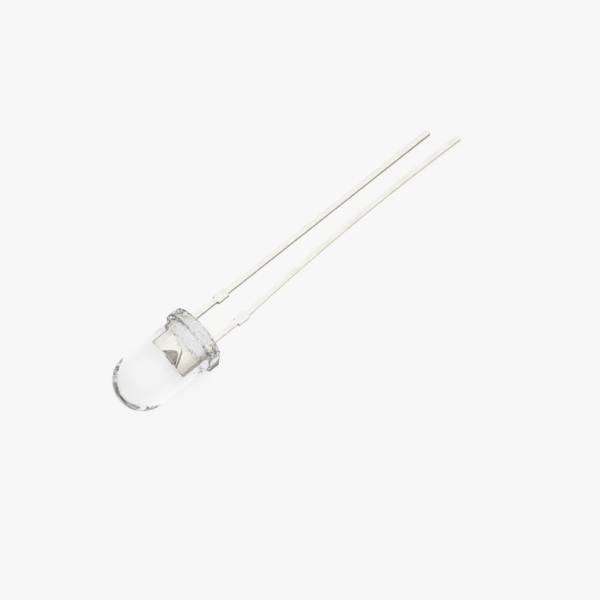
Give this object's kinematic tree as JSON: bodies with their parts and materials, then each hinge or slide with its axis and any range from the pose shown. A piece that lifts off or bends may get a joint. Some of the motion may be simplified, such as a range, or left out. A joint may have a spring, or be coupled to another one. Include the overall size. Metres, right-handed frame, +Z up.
{
  "type": "through hole led",
  "caption": "Clear round-domed light-emitting diode with a flanged barrel, a reflector cup on its stamped lead frame and long square leads, lying on its side.",
  "frame": {"origin": "on the optical axis, in the plane of the flange's rear face (the seating plane)", "axes": "+Z up, square to the surface on which the lamp lies; +X level and towards the dome, so the optical axis points 5.4 degrees above +X; +Y level, on the longer lead's side, which is rolled up by 4.4 degrees; the surface lies 2.88 mm below the origin"},
  "size_m": [0.0367, 0.0055, 0.006],
  "materials": {
    "clear_resin": "polished",
    "tinned_steel": "satin",
    "chip": "satin",
    "adhesive": "matte",
    "gold_wire": "polished"
  },
  "bodies": {
    "root": {"lens_body": "clear_resin", "cup_lead": "tinned_steel", "post_lead": "tinned_steel", "chip": "chip", "chip_adhesive": "adhesive", "bond_wire": "gold_wire"}
  },
  "joints": []
}
